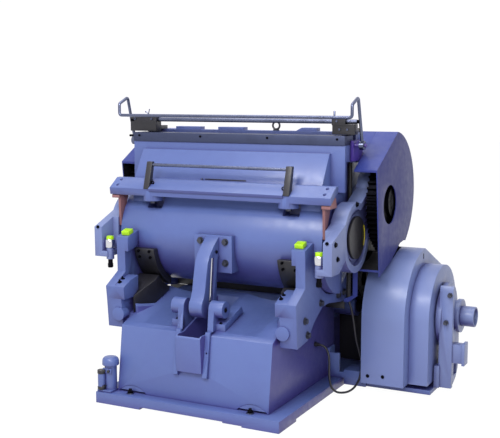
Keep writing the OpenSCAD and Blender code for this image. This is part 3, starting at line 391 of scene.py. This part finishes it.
class Piece:
    """Gathers solids into one mesh; sizes are in millimetres, places from the base plate's front edge."""

    def __init__(self, name):
        self.name = name
        self.bm = bmesh.new()

    def lathe(self, profile, place, axis, steps=28, turn=0.0):
        """A closed solid from (radius, height) pairs, turned about an axis through place."""
        axis, u, v = frame_of(axis)
        rings = []
        for radius, height in profile:
            centre = at(*place) + axis * height * MM
            if radius <= 0:
                rings.append([self.bm.verts.new(centre)])
            else:
                rings.append([self.bm.verts.new(centre + radius * MM * (u * math.cos(a) + v * math.sin(a)))
                              for a in (math.radians(turn) + math.tau * k / steps for k in range(steps))])
        for one, two in zip(rings, rings[1:]):
            for k in range(steps):
                j = (k + 1) % steps
                if len(one) == 1 and len(two) > 1:
                    self.bm.faces.new((one[0], two[k], two[j]))
                elif len(two) == 1 and len(one) > 1:
                    self.bm.faces.new((one[k], one[j], two[0]))
                elif len(one) > 1:
                    self.bm.faces.new((one[k], one[j], two[j], two[k]))
        if len(rings[0]) > 1:
            self.bm.faces.new(rings[0][::-1])
        if len(rings[-1]) > 1:
            self.bm.faces.new(rings[-1])
        return self

    def ring(self, inner, outer, depth, place, axis, steps=48, start=0.0, sweep=360.0):
        """A flat ring or part of one, with a slightly domed section."""
        axis, u, v = frame_of(axis)
        section = [(inner, 0), (inner, depth * 0.7), (inner + depth * 0.3, depth),
                   (outer - depth * 0.3, depth), (outer, depth * 0.7), (outer, 0)]
        whole = sweep >= 360
        count = steps if whole else steps + 1
        rings = []
        for k in range(count):
            a = math.radians(start + sweep * k / steps)
            out = u * math.cos(a) + v * math.sin(a)
            rings.append([self.bm.verts.new(at(*place) + axis * h * MM + r * MM * out) for r, h in section])
        pairs = list(zip(rings, rings[1:])) + ([(rings[-1], rings[0])] if whole else [])
        n = len(section)
        for one, two in pairs:
            for k in range(n):
                j = (k + 1) % n
                self.bm.faces.new((one[k], one[j], two[j], two[k]))
        if not whole:
            self.bm.faces.new(rings[0])
            self.bm.faces.new(rings[-1][::-1])
        return self

    def block(self, x0, x1, y0, y1, z0, z1, soft=1.0):
        """A box with softened edges."""
        size = (abs(x1 - x0), abs(y1 - y0), abs(z1 - z0))
        middle = at((x0 + x1) / 2, (y0 + y1) / 2, (z0 + z1) / 2)
        made = bmesh.ops.create_cube(self.bm, size=1)
        verts = made["verts"]
        bmesh.ops.transform(self.bm, verts=verts, matrix=Matrix.Translation(middle)
                            @ Matrix.Diagonal((size[0] * MM, size[1] * MM, size[2] * MM, 1)))
        edges = {e for v in verts for e in v.link_edges}
        if soft:
            bmesh.ops.bevel(self.bm, geom=list(edges), offset=min(soft, min(size) * 0.4) * MM, segments=2,
                            profile=0.5, affect="EDGES")
        return self

    def prism(self, outline, x0, x1):
        """A plate from an outline in (y, z), between two places across the machine."""
        low = [self.bm.verts.new(at(x0, y, z)) for y, z in outline]
        high = [self.bm.verts.new(at(x1, y, z)) for y, z in outline]
        n = len(outline)
        for k in range(n):
            j = (k + 1) % n
            self.bm.faces.new((low[k], low[j], high[j], high[k]))
        self.bm.faces.new(low[::-1])
        self.bm.faces.new(high)
        return self

    def tube(self, points, radius, sides=14):
        """A round bar along points, with closed ends."""
        p = [at(*q) for q in points]
        rings, u = [], None
        for i, q in enumerate(p):
            along = (p[min(i + 1, len(p) - 1)] - p[max(i - 1, 0)]).normalized()
            if u is None:
                _, u, _ = frame_of(along)
            u = (u - along * u.dot(along)).normalized()
            v = along.cross(u)
            rings.append([self.bm.verts.new(q + radius * MM * (u * math.cos(a) + v * math.sin(a)))
                          for a in (math.tau * k / sides for k in range(sides))])
        for one, two in zip(rings, rings[1:]):
            for k in range(sides):
                j = (k + 1) % sides
                self.bm.faces.new((one[k], one[j], two[j], two[k]))
        self.bm.faces.new(rings[0][::-1])
        self.bm.faces.new(rings[-1])
        return self

    def hex_bolt(self, place, axis, radius):
        """A hexagon head with its chamfer and washer, standing on place."""
        h = radius * 0.26
        self.lathe([(radius * 1.5, 0), (radius * 1.5, radius * 0.2), (radius * 1.42, h), (0, h)], place, axis, 24)
        self.lathe([(radius * 1.12, h), (radius * 1.12, h + radius * 0.62),
                    (radius * 0.95, h + radius * 0.78), (0, h + radius * 0.8)], place, axis, 6)
        return self

    def cap_screw(self, place, axis, radius):
        """A socket head cap screw with a round recess in its head."""
        self.lathe([(radius, 0), (radius, radius * 0.85), (radius * 0.9, radius), (radius * 0.52, radius),
                    (radius * 0.46, radius * 0.35), (0, radius * 0.3)], place, axis, 24)
        return self

    def done(self, look, body, stands_for=(), slot=None):
        bmesh.ops.recalc_face_normals(self.bm, faces=self.bm.faces)
        mesh = bpy.data.meshes.new(self.name)
        self.bm.to_mesh(mesh)
        self.bm.free()
        obj = link(self.name, mesh)
        mesh.shade_smooth()
        mesh.set_sharp_from_angle(angle=math.radians(SMOOTH_ANGLE))
        dress(obj, LOOKS[look])
        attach(obj, body)
        if stands_for:
            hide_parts(*stands_for)
        return obj


ROUNDING = {
    "base_plate": 3, "base_casting": 7, "left_cheek": 6, "right_cheek": 6, "stop_pads": 3,
    "left_guide_block": 4, "right_guide_block": 4, "bed_casting": 5, "platen_casting": 5, "cross_beam": 4,
    "left_end_bracket": 2, "right_end_bracket": 2, "left_rocker": 4, "right_rocker": 4, "centre_lever": 5,
    "left_arm": 6, "right_arm": 6, "left_gear_guard": 2.2, "right_gear_guard": 2.2, "flywheel_guard": 2.4,
    "clutch_guard": 2.4, "outboard_bracket": 5, "left_clamp": 2, "right_clamp": 2,
    "drive_motor": 2, "top_rail": 1.5, "housing_bracket": 3, "left_rocker_track": 1.5,
    "right_rocker_track": 1.5, "left_trunnion_disc": 3, "right_trunnion_disc": 3, "beam_posts": 2,
    "shaft_end_cover": 3, "bar_brackets": 2, "rear_panel": 0.8,
}
cast = {name: rounded(name, width) for name, width in ROUNDING.items()}

# ---------- insides of the sheet housings ----------

GUARD_CENTRE = at(0, 870, 1010)


def paint_inside_shade(name, centre, low, high):
    """Paints the inner faces of a sheet housing between low and high across the machine black, as painted shade.
    """
    mesh = cast[name].data
    mesh.materials.append(LOOKS["black"])
    for face in mesh.polygons:
        middle, normal = face.center, face.normal
        if not low < abs(middle.x) < high:
            continue
        to_centre = Vector((0, centre.y - middle.y, centre.z - middle.z))
        across = abs(normal.x) > 0.9
        inward = normal.x * middle.x < 0 if across else normal.dot(to_centre) > 0.2 * to_centre.length
        if inward:
            face.material_index = 1


guard_low, guard_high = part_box("right_gear_guard")
for side in ("left", "right"):
    paint_inside_shade(side + "_gear_guard", GUARD_CENTRE, guard_low[0] + 0.0006, guard_high[0] - 0.0035)

# ---------- fasteners ----------


def make_cheek_studs():
    piece = Piece("cheek_studs")
    up = (0, -0.4, 0.92)
    for x, y, z in ((-462, 168, 578.5), (-464, 198, 589), (430, 168, 578.5), (428, 198, 589)):
        piece.hex_bolt((x, y, z), up, 7)
        piece.lathe([(3.6, 0), (3.6, 16), (3, 17), (0, 17)], (x, y, z), up, 12)
    return piece.done("gear_steel", "machine")


def make_rocker_bolts():
    piece = Piece("rocker_bolts")
    for side in (1, -1):
        for z, y in ((722, 300.5), (690, 311)):
            piece.cap_screw((side * 372, y, z), (0, -1, -0.3), 7)
            piece.cap_screw((side * 436, y, z), (0, -1, -0.3), 7)
    piece.done("gear_steel", "platen")


def make_beam_details():
    piece = Piece("beam_screws")
    for side in (1, -1):
        piece.hex_bolt((side * 380, 356, 976), (0, 0, -1), 13)
    piece.done("steel", "platen")
    eye = Piece("post_eyelets")
    for side in (1, -1):
        eye.lathe([(5, 0), (5, 10), (4, 11), (0, 11)], (side * 372, 330, 1056), (0, 0, 1), 14)
        eye.ring(5, 10, 5, (side * 364, 331, 1072), (side * 0.3, -1, 0), 24)
    return eye.done("gear_steel", "platen")


def make_wedge_slot():
    piece = Piece("wedge_slot")
    piece.block(-108, 122, 411.3, 414, 1090, 1095, 0.5)
    piece.done("black", "platen")
    stud = Piece("wedge_stud")
    stud.lathe([(6.5, 0), (6.5, 5), (5.4, 7), (0, 7)], (-124, 413, 1091), (0, -1, 0), 18)
    return stud.done("bar_steel", "platen")


def make_arm_details():
    for side, name in ((1, "right"), (-1, "left")):
        piece = Piece(name + "_arm_screws")
        piece.hex_bolt((side * 653.5, 268, 832), (side, 0, 0), 9)
        piece.hex_bolt((side * 653.5, 296, 761), (side, 0, 0), 9)
        piece.cap_screw((side * 631, 227, 842), (0, -1, 0.02), 8)
        piece.done("gear_steel", name + "_pull_arm")


def make_catches():
    low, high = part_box("right_plunger")
    x = (low[0] + high[0]) / 2 / MM
    y = 257
    for side, name in ((1, "right"), (-1, "left")):
        body = name + "_catch"
        cup = Piece(name + "_catch_cup")
        cup.lathe([(20.1, 736.5), (24.6, 736), (26, 738), (26, 774), (24, 777.5), (19, 778), (6, 778),
                   (6, 765), (20.1, 765), (20.1, 736.5)], (side * x, y, 0), (0, 0, 1), 40)
        cup.done("chrome", body, slot="chrome")
        button = Piece(name + "_catch_button")
        button.lathe([(18.6, 777.6), (19, 780), (19, 791), (17.6, 794), (14, 795), (0, 795)],
                     (side * x, y, 0), (0, 0, 1), 36)
        button.done("lime", body, slot="lime")
        stem = Piece(name + "_catch_stem")
        stem.lathe([(0, 631), (11, 631), (14, 634), (14, 652), (12, 654), (12, 672), (10, 675), (6, 675.7),
                    (6, 778), (0, 778)], (side * x, y, 0), (0, 0, 1), 32)
        stem.done("gear_steel", body, (name + "_plunger",), slot="chrome")


make_cheek_studs()
make_rocker_bolts()
make_beam_details()
make_wedge_slot()
make_arm_details()
make_catches()

# ---------- guide blocks and lever ----------


def make_guide_details():
    piece = Piece("guide_screws")
    for side in (1, -1):
        piece.cap_screw((side * 111, 172, 461), (side * 0.5, -1, 0.3), 7)
        piece.cap_screw((side * 137, 164, 497), (side, 0, 0), 9)
        piece.hex_bolt((side * 120, 158, 430), (0, -1, 0.2), 6)
    return piece.done("gear_steel", "machine")


def make_lever_details():
    piece = Piece("lever_pin")
    piece.lathe([(8, 0), (8, 7), (6.5, 9), (0, 9)], (33, 266, 755), (1, 0, 0), 18)
    return piece.done("gear_steel", "platen")


make_guide_details()
make_lever_details()

# ---------- conduit ----------


def make_conduit():
    low, high = (Vector(v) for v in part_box("conduit"))
    middle = (low + high) / 2
    x, y = middle.x / MM, (middle.y - FRONT) / MM
    bottom, top = low.z / MM, high.z / MM
    piece = Piece("corrugated_conduit")
    profile = [(0, bottom + 20), (7, bottom + 20), (7, bottom), (CONDUIT_RADIUS, bottom)]
    pitch = 8.0
    z = bottom + 1
    while z < top - pitch:
        profile += [(CONDUIT_RADIUS, z), (CONDUIT_RADIUS, z + 3.4), (10.4, z + 4.4), (10.4, z + 7)]
        z += pitch
    profile += [(CONDUIT_RADIUS, top - 1), (CONDUIT_RADIUS, top), (0, top)]
    piece.lathe(profile, (x, y, 0), (0, 0, 1), 20)
    return piece.done("black_plastic", "machine", ("conduit",))


make_conduit()

# ---------- oil pump ----------


def make_oil_pump():
    low, high = (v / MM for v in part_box("lube_pump"))
    x, y, floor, top = -449, 57, low.z, high.z
    piece = Piece("oil_pump")
    piece.block(x - 50, x + 31, y - 47, y + 26, floor, floor + 11, 2.5)
    piece.lathe([(0, floor + 10), (30.6, floor + 10), (30.6, top - 44), (33, top - 41), (41.6, top - 40),
                 (42, top - 38), (42, top - 24), (41, top - 16), (37, top - 7), (30, top - 1.5),
                 (20, top), (0, top)], (x, y, 0), (0, 0, 1), 48)
    piece.block(x - 44, x - 18, y - 12, y + 12, floor + 40, floor + 84, 3)
    piece.block(x - 26, x + 26, y - 34, y - 26, floor + 92, floor + 118, 3)
    piece.lathe([(5, top - 20), (5, top - 4), (0, top - 3)], (x - 20, y - 26, 0), (0, 0, 1), 14)
    piece.done("enamel", "machine", ("lube_pump",))
    caps = Piece("oil_pump_caps")
    for z0, z1 in ((floor + 10.5, floor + 26), (floor + 90, floor + 108)):
        caps.lathe([(0, z0), (20, z0), (21, z0 + 1.5), (21, z1 - 1.5), (20, z1), (0, z1)],
                   (x - 31, y - 34, 0), (0, 0, 1), 32)
    caps.lathe([(7, 0), (7, 9), (5, 11), (0, 11)], (x - 14, y - 33.5, floor + 105), (0, -1, 0), 18)
    caps.lathe([(7, 0), (7, 9), (5, 11), (0, 11)], (x + 12, y - 33.5, floor + 105), (0, -1, 0), 18)
    caps.lathe([(6, 0), (6, 20), (5, 21), (0, 21)], (x - 12, y - 30, floor + 28), (0, -1, 0), 18)
    caps.done("black", "machine")
    glass = Piece("oil_pump_bowl")
    glass.lathe([(0, floor + 26.2), (18.6, floor + 26.2), (19.2, floor + 40), (19.2, floor + 78),
                 (18.6, floor + 89.8), (0, floor + 89.8)], (x - 31, y - 34, 0), (0, 0, 1), 32)
    glass.done("enamel", "machine")


make_oil_pump()

# ---------- safety bar ----------


def bend(points, radius, steps=6):
    """A route with its corners rounded off."""
    p = [Vector(q) for q in points]
    made = [p[0]]
    for a, b, c in zip(p, p[1:], p[2:]):
        one, two = (a - b).normalized(), (c - b).normalized()
        reach = radius / math.tan(one.angle(two) / 2)
        for k in range(steps + 1):
            t = k / steps
            made.append((b + one * reach) * (1 - t) ** 2 + b * 2 * t * (1 - t) + (b + two * reach) * t * t)
    return made + [p[-1]]


def make_safety_bar():
    low, high = (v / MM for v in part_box("safety_bar"))
    x, r = high.x - 12, 8
    front = low.y - FRONT / MM + r + 0.5
    z = 1405
    side = [SAFETY_PIVOT, (543, 1498), (front, 1465), (front, z)]
    path = [(-x, *q) for q in side] + [(x, *q) for q in reversed(side)]
    piece = Piece("safety_loop")
    piece.tube(bend([tuple(q) for q in path], 15), r, 18)
    for end in (-x, x):
        piece.lathe([(9.3, -12), (21, -12), (22, -11), (22, 11), (21, 12), (9.3, 12), (9.3, -12)],
                    (end, *SAFETY_PIVOT), (1, 0, 0), 32)
    piece.done("bar_steel", BODY_OF["safety_bar"], ("safety_bar",))


make_safety_bar()

# ---------- small hardware ----------


def make_anchor_bolts():
    """Bolts in the four anchor holes; the photograph shows the front two, and the rear two are guessed."""
    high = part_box("base_plate")[1] / MM
    washers, nuts = Piece("anchor_washers"), Piece("anchor_bolts")
    for x in (-ANCHOR_X, ANCHOR_X):
        for y in (ANCHOR_INSET, high.y - FRONT / MM - ANCHOR_INSET):
            washers.lathe([(13.4, 0), (19, 0), (19, 3), (18, 4), (13.4, 4), (13.4, 0)], (x, y, high.z),
                          (0, 0, 1), 32)
            nuts.lathe([(14, 4), (15, 5), (15, 13), (14, 14), (0, 14)], (x, y, high.z), (0, 0, 1), 6, x)
            nuts.lathe([(8, -30), (8, 22), (7, 24), (0, 24)], (x, y, high.z), (0, 0, 1), 20)
    washers.done("bar_steel", "machine")
    nuts.done("gear_steel", "machine")


def make_top_hardware():
    """Screws, pins and tabs round the clamps and the cam shaft."""
    piece = Piece("clamp_screws")
    piece.lathe([(8, 0), (8, 5), (5, 7), (5, 10), (0, 10)], (-537, 566, 1401.5), (0, 0, 1), 20)
    piece.tube([(-537, 566, 1408), (-530, 566, 1437)], 2.6, 12)
    piece.tube([(-535, 566, 1410), (-552, 566, 1423)], 2.4, 12)
    piece.tube([(-552, 566, 1423), (-556, 566, 1421)], 3.6, 12)
    piece.lathe([(5, 0), (5, 30), (4, 32), (0, 32)], (523, 566, 1401.5), (0, 0, 1), 18)
    for x, z in ((-604, 1386), (-500, 1386), (546, 1386)):
        piece.cap_screw((x, 540.2, z), (0, -1, 0), 6)
    for x in (560, 600):
        piece.cap_screw((x, 541.2, 1346), (0, -1, 0), 6)
    piece.done("bar_steel", "machine")
    tab = Piece("shaft_tab")
    tab.prism([(538, 1373), (542, 1373), (542, 1386), (538, 1386)], -634.4, -612)
    tab.lathe([(9, 0), (9, 6), (7.5, 8), (0, 8)], (640, 566, 1383), (1, 0, 0), 24)
    tab.lathe([(9, 0), (9, 6), (7.5, 8), (0, 8)], (-640, 566, 1383), (-1, 0, 0), 24)
    tab.done("gear_steel", "machine")
    rail = Piece("rail_screws")
    rail.lathe([(6, 0), (6, 28), (4.5, 30), (0, 30)], (-597, 520, 1298), (-1, 0, 0), 18)
    for x in (-560, -190, 190, 560):
        rail.cap_screw((x, 511.8, 1300), (0, -1, 0), 5.5)
    rail.done("gear_steel", "platen")


def make_side_hardware():
    """Marks and screws on the arms' discs and flanges, and on the drum."""
    for side, name in ((1, "right"), (-1, "left")):
        mark = Piece(name + "_grease_marks")
        mark.ring(92, 98, 1.2, (side * 658.2, 545, 829), (side, 0, 0), 30, 150, 62)
        mark.done("yellow", "platen")
        flange = Piece(name + "_arm_flange_bolt")
        flange.hex_bolt((side * 654, 536, 991), (side, 0, 0), 9)
        flange.done("gear_steel", name + "_pull_arm")
    drum = Piece("drum_screws")
    for x, z in ((665, 106), (744, 111)):
        drum.hex_bolt((x, 696.5, z), (0, -1, 0), 6)
    drum.block(849.4, 851, 998, 1007, 672, 700, 0.3)
    drum.done("gear_steel", "machine")


def make_toe_fillers():
    """The toe's low arches are shallow: their upper part is filled nearly flush with the front."""
    piece = Piece("toe_fillers")
    for x in (-ANCHOR_X, ANCHOR_X):
        piece.prism([(69.6, 64.5), (75.8, 91), (90, 91), (90, 64.5)], x - 81, x + 81)
    piece.done("enamel", "machine")


def make_roof_inner():
    """The guard roof's inner part, seen above the pull arm behind the bed's crown."""
    for side, name in ((1, "right"), (-1, "left")):
        piece = Piece(name + "_roof_inner")
        outline = [(730, 1227.4), (905, 1326), (905, 1321), (905, 1290), (899, 1290), (899, 1317),
                   (730, 1222)]
        low, high = sorted((side * 530, side * 615.6))
        piece.prism(outline, low, high)
        piece.done("sheet_enamel", "machine")


def make_deck_shade_skirt():
    """Black skirts under the bed's front corners, painted shade that closes the sight line there; a cover, not a
    known part.
    """
    piece = Piece("deck_shade_skirts")
    for side in (1, -1):
        low, high = sorted((side * 416, side * 519))
        piece.block(low, high, 740.5, 745.5, 428, 469.7, 0.8)
    piece.done("black", "machine")


def make_die_space_shade():
    """A black plate on the bed's foot behind the barrel, down to the deck: painted shade."""
    piece = Piece("bed_foot_painted_shade")
    piece.prism([(744.8, 470.6), (744.8, 589), (746.7, 589.4), (746.7, 470.6)], -472, 472)
    piece.done("black", "machine")


make_die_space_shade()
make_toe_fillers()
make_roof_inner()
make_deck_shade_skirt()
make_anchor_bolts()
make_top_hardware()
make_side_hardware()

# ---------- stage ----------


def make_stage():
    """A pale floor and a white surround; the camera sees them nearly white, with the shadow kept."""
    mesh = bpy.data.meshes.new("floor")
    far = FLOOR_SIZE
    corners = [(-far, -far, 0), (far, -far, 0), (far, far, 0), (-far, far, 0)]
    mesh.from_pydata(corners, [], [(0, 1, 2, 3)])
    floor = link("floor", mesh)
    s = Shader("floor")
    s.set(Base_Color=(0.86, 0.86, 0.86, 1), Roughness=0.8)
    glow = s.add("Emission", Color=(1, 1, 1, 1), Strength=FLOOR_GLOW)
    rays = s.add("LightPath")
    seen = s.math("MAXIMUM", rays.outputs["Is Camera Ray"], rays.outputs["Is Glossy Ray"])
    share = s.math("MULTIPLY", s.math("MAXIMUM", seen, rays.outputs["Is Transmission Ray"]), FLOOR_SHARE)
    blend = s.add("MixShader")
    s.put(blend.inputs[0], share)
    s.put(blend.inputs[1], s.bsdf.outputs[0])
    s.put(blend.inputs[2], glow.outputs[0])
    s.tree.links.new(blend.outputs[0], s.tree.nodes["Material Output"].inputs["Surface"])
    dress(floor, s.material)
    world = bpy.data.worlds.new("world")
    bpy.context.scene.world = world
    world.use_nodes = True
    tree = world.node_tree
    back = tree.nodes["Background"]
    back.inputs[0].default_value = (0.97, 0.96, 1, 1)
    rays = tree.nodes.new("ShaderNodeLightPath")
    seen = rays.outputs["Is Camera Ray"]
    for other in ("Is Glossy Ray", "Is Transmission Ray"):
        either = tree.nodes.new("ShaderNodeMath")
        either.operation = "MAXIMUM"
        tree.links.new(seen, either.inputs[0])
        tree.links.new(rays.outputs[other], either.inputs[1])
        seen = either.outputs[0]
    level = tree.nodes.new("ShaderNodeMapRange")
    tree.links.new(seen, level.inputs[0])
    level.inputs[3].default_value = WORLD_LIGHT
    level.inputs[4].default_value = WORLD_SEEN
    tree.links.new(level.outputs[0], back.inputs[1])


def make_light(name, place, aim, size, watts):
    data = bpy.data.lights.new(name, "AREA")
    data.shape = "RECTANGLE"
    data.size, data.size_y = size
    data.energy = watts
    lamp = link(name, data)
    lamp.location = place
    lamp.rotation_mode = "QUATERNION"
    lamp.rotation_quaternion = (Vector(aim) - Vector(place)).to_track_quat("-Z", "Y")
    return lamp


make_stage()
make_light("key", (-0.1, -3.3, 3.5), (0.1, 0, 1.05), (1.6, 1.2), 92)
make_light("right", (2.6, -4.6, 3.0), (0.8, 0.2, 0.5), (2, 1.6), 95)
make_light("top", (-0.3, 0.0, 4.6), (0, 0, 0.6), (3, 3), 75)

bpy.context.scene.view_settings.view_transform = "Standard"
